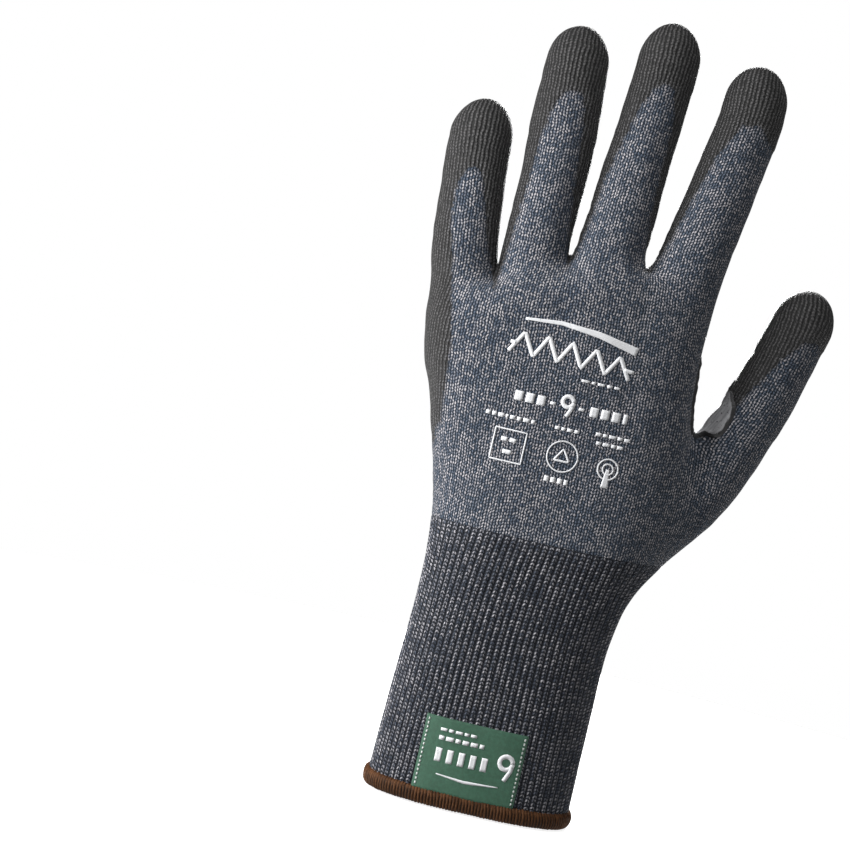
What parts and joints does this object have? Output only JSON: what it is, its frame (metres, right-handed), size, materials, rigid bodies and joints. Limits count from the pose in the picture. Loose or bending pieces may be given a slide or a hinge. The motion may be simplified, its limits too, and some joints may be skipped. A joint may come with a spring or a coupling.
{
  "type": "cut resistant glove",
  "caption": "Left-hand knitted work glove with a ribbed cuff, dipped palm and fingertips, padded thumb crotch, overlocked hem and finger stalls that bend at the knuckles.",
  "frame": {"origin": "centre of the cuff opening, in the plane of the hem's lower rim", "axes": "+X to the thumb side, +Y out of the palm, +Z from the cuff to the fingertips; the back of the hand, with the label, faces -Y"},
  "size_m": [0.1299, 0.0444, 0.2545],
  "materials": {
    "knit": "fine seamless knit of dark navy yarn heathered with pale glass and fibre specks, matt",
    "rib": "elastic one-by-one rib, pale grey dashes between near-black and navy wales, matt",
    "coating": "thin dark grey dip over the knit, satin, the knit showing through, glossier where stretched",
    "patch": "second, thicker layer of near-black dip, semi-gloss, with a raised edge",
    "elastic": "black covered elastic yarn laid inside the cuff",
    "hem": "brown overlock thread in dense vertical wraps, slightly glossy",
    "label": "green printed woven label, satin, with a pale stitched edge and plain bars"
  },
  "bodies": {
    "cuff": {"hem_binding": "hem", "cuff_rib": "rib", "cuff_elastic": "elastic", "cuff_coating": "coating", "size_label": "label"},
    "hand": {"hand_knit": "knit", "wrist_rib": "rib", "wrist_fold": "rib", "palm_coating": "coating", "thumb_crotch_patch": "patch"},
    "index_base": {"index_base_knit": "knit", "index_base_coating": "coating", "index_base_fold": "knit"},
    "index_knuckle": {"index_knuckle_knit": "knit", "index_knuckle_coating": "coating", "index_knuckle_fold": "knit"},
    "index_end": {"index_end_knit": "knit", "index_end_coating": "coating", "index_end_fold": "knit"},
    "middle_base": {"middle_base_knit": "knit", "middle_base_coating": "coating", "middle_base_fold": "knit"},
    "middle_knuckle": {"middle_knuckle_knit": "knit", "middle_knuckle_coating": "coating", "middle_knuckle_fold": "knit"},
    "middle_end": {"middle_end_knit": "knit", "middle_end_coating": "coating", "middle_end_fold": "knit"},
    "ring_base": {"ring_base_knit": "knit", "ring_base_coating": "coating", "ring_base_fold": "knit"},
    "ring_knuckle": {"ring_knuckle_knit": "knit", "ring_knuckle_coating": "coating", "ring_knuckle_fold": "knit"},
    "ring_end": {"ring_end_knit": "knit", "ring_end_coating": "coating", "ring_end_fold": "knit"},
    "little_base": {"little_base_knit": "knit", "little_base_coating": "coating", "little_base_fold": "knit"},
    "little_knuckle": {"little_knuckle_knit": "knit", "little_knuckle_coating": "coating", "little_knuckle_fold": "knit"},
    "little_end": {"little_end_knit": "knit", "little_end_coating": "coating", "little_end_fold": "knit"},
    "thumb_base": {"thumb_base_knit": "knit", "thumb_base_coating": "coating", "thumb_base_fold": "knit"},
    "thumb_knuckle": {"thumb_knuckle_knit": "knit", "thumb_knuckle_coating": "coating", "thumb_knuckle_fold": "knit"}
  },
  "joints": [
    {"name": "wrist", "type": "hinge", "parent": "cuff", "child": "hand", "pos_m": [0.0015, 0, 0.062], "axis": [-1, 0, 0], "range_deg": [-30, 30], "stiffness_Nm_per_rad": 0.6, "deforming": ["wrist_fold"]},
    {"name": "index_base", "type": "hinge", "parent": "hand", "child": "index_base", "pos_m": [0.0327, 0.0015, 0.1895], "axis": [-0.987, 0, 0.1608], "range_deg": [-10, 70], "stiffness_Nm_per_rad": 0.03, "deforming": ["index_base_fold"]},
    {"name": "index_knuckle", "type": "hinge", "parent": "index_base", "child": "index_knuckle", "pos_m": [0.0364, 0.0038, 0.212], "axis": [-0.9867, 0, 0.1624], "range_deg": [0, 80], "stiffness_Nm_per_rad": 0.03, "deforming": ["index_knuckle_fold"]},
    {"name": "index_end", "type": "hinge", "parent": "index_knuckle", "child": "index_end", "pos_m": [0.0392, 0.0066, 0.229], "axis": [-0.9917, 0, 0.1286], "range_deg": [0, 48], "deforming": ["index_end_fold"]},
    {"name": "middle_base", "type": "hinge", "parent": "hand", "child": "middle_base", "pos_m": [0.0072, 0.001, 0.1895], "axis": [-0.9976, 0, 0.069], "range_deg": [-10, 70], "stiffness_Nm_per_rad": 0.03, "deforming": ["middle_base_fold"]},
    {"name": "middle_knuckle", "type": "hinge", "parent": "middle_base", "child": "middle_knuckle", "pos_m": [0.0087, 0.0034, 0.214], "axis": [-0.9982, 0, 0.0595], "range_deg": [0, 80], "stiffness_Nm_per_rad": 0.03, "deforming": ["middle_knuckle_fold"]},
    {"name": "middle_end", "type": "hinge", "parent": "middle_knuckle", "child": "middle_end", "pos_m": [0.0098, 0.0064, 0.233], "axis": [-0.999, 0, 0.0452], "range_deg": [0, 48], "deforming": ["middle_end_fold"]},
    {"name": "ring_base", "type": "hinge", "parent": "hand", "child": "ring_base", "pos_m": [-0.0163, 0.0015, 0.1855], "axis": [-1, 0, 0.0043], "range_deg": [-10, 70], "stiffness_Nm_per_rad": 0.03, "deforming": ["ring_base_fold"]},
    {"name": "ring_knuckle", "type": "hinge", "parent": "ring_base", "child": "ring_knuckle", "pos_m": [-0.0162, 0.0038, 0.21], "axis": [-1, 0, -0.009], "range_deg": [0, 80], "stiffness_Nm_per_rad": 0.03, "deforming": ["ring_knuckle_fold"]},
    {"name": "ring_end", "type": "hinge", "parent": "ring_knuckle", "child": "ring_end", "pos_m": [-0.0166, 0.0066, 0.228], "axis": [-0.9996, 0, -0.0265], "range_deg": [0, 48], "deforming": ["ring_end_fold"]},
    {"name": "little_base", "type": "hinge", "parent": "hand", "child": "little_base", "pos_m": [-0.0393, 0.003, 0.174], "axis": [-0.9879, 0, -0.1551], "range_deg": [-10, 70], "stiffness_Nm_per_rad": 0.03, "deforming": ["little_base_fold"]},
    {"name": "little_knuckle", "type": "hinge", "parent": "little_base", "child": "little_knuckle", "pos_m": [-0.0408, 0.0048, 0.1915], "axis": [-0.9974, 0, -0.0723], "range_deg": [0, 80], "stiffness_Nm_per_rad": 0.03, "deforming": ["little_knuckle_fold"]},
    {"name": "little_end", "type": "hinge", "parent": "little_knuckle", "child": "little_end", "pos_m": [-0.0416, 0.007, 0.205], "axis": [-0.9996, 0, -0.0297], "range_deg": [0, 48], "deforming": ["little_end_fold"]},
    {"name": "thumb_base", "type": "hinge", "parent": "hand", "child": "thumb_base", "pos_m": [0.0605, 0.0095, 0.1365], "axis": [-0.8063, -0.4634, 0.3676], "range_deg": [0, 35], "stiffness_Nm_per_rad": 0.03, "deforming": ["thumb_base_fold"]},
    {"name": "thumb_knuckle", "type": "hinge", "parent": "thumb_base", "child": "thumb_knuckle", "pos_m": [0.0666, 0.0115, 0.1565], "axis": [-0.8351, -0.4799, 0.2688], "range_deg": [0, 55], "stiffness_Nm_per_rad": 0.03, "deforming": ["thumb_knuckle_fold"]}
  ],
  "couplings": [
    {"joint": "index_end", "follows": "index_knuckle", "ratio": 0.6},
    {"joint": "middle_end", "follows": "middle_knuckle", "ratio": 0.6},
    {"joint": "ring_end", "follows": "ring_knuckle", "ratio": 0.6},
    {"joint": "little_end", "follows": "little_knuckle", "ratio": 0.6}
  ]
}
